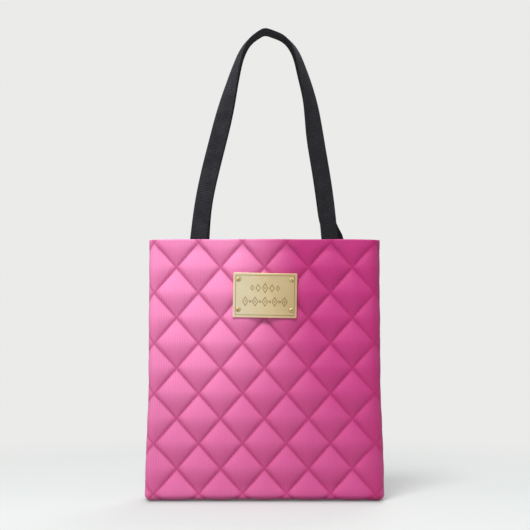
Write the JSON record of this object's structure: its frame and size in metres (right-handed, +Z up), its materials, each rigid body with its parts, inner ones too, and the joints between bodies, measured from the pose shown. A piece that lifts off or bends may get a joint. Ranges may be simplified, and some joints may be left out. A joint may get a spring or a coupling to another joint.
{
  "type": "tote bag",
  "caption": "Quilted tote bag with a boxed foot, webbing shoulder handles that fold over the mouth, and an engraved name plate screwed to the front.",
  "frame": {"origin": "centre of the foot, on the surface that the bag stands on", "axes": "+Z up towards the handles, -Y out of the front that carries the name plate, +X to the right seen from the front"},
  "size_m": [0.37, 0.0717, 0.7272],
  "materials": {
    "quilted_fabric": "satin",
    "wadding": "matte",
    "lining": "matte",
    "binding": "matte",
    "board": "matte",
    "plate_brass": "satin",
    "screw_brass": "polished",
    "webbing": "matte",
    "black_thread": "satin"
  },
  "bodies": {
    "bag": {"front_outer_panel": "quilted_fabric", "back_outer_panel": "quilted_fabric", "front_wadding": "wadding", "back_wadding": "wadding", "front_lining": "lining", "back_lining": "lining", "front_mouth_facing": "quilted_fabric", "back_mouth_facing": "quilted_fabric", "base_board": "board", "left_side_seam_binding": "binding", "right_side_seam_binding": "binding", "bottom_seam_binding": "binding", "left_corner_seam_binding": "binding", "right_corner_seam_binding": "binding", "name_plate": "plate_brass", "name_plate_screws": "screw_brass", "name_plate_washers": "screw_brass", "name_plate_nuts": "screw_brass", "front_handle_left_end": "webbing", "front_handle_right_end": "webbing", "back_handle_left_end": "webbing", "back_handle_right_end": "webbing", "front_handle_tack_stitches": "black_thread", "back_handle_tack_stitches": "black_thread"},
    "front_handle": {"front_handle": "webbing"},
    "back_handle": {"back_handle": "webbing"}
  },
  "joints": [
    {"name": "front_handle_fold", "type": "hinge", "parent": "bag", "child": "front_handle", "pos_m": [0, -0.0322, 0.4035], "axis": [1, 0, 0], "range_deg": [0, 178]},
    {"name": "back_handle_fold", "type": "hinge", "parent": "bag", "child": "back_handle", "pos_m": [0, 0.0322, 0.4035], "axis": [-1, 0, 0], "range_deg": [0, 178]}
  ]
}
